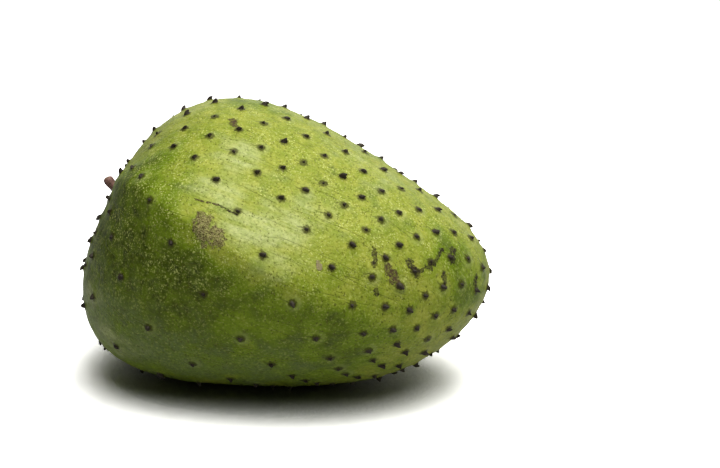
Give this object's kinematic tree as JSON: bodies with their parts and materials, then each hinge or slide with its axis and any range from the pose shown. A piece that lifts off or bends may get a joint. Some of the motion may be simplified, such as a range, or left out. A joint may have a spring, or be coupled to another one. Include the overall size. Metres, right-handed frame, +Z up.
{
  "type": "soursop",
  "caption": "Whole ripe tropical fruit, a lopsided green drop with short hooked spines and a stem stub, lying on its side on a small flat spot.",
  "frame": {"origin": "centre of the small flat spot that the fruit rests on", "axes": "+X runs from the stem end to the tip, level with the surface; +Z is up, out of that surface"},
  "size_m": [0.2057, 0.153, 0.1392],
  "materials": {
    "rind": "waxy satin yellow-green rind with pale specks, dark flecks and charcoal spines",
    "stem_bark": "dry reddish-brown bark"
  },
  "bodies": {
    "root": {"fruit": "rind", "stem": "stem_bark"}
  },
  "joints": []
}
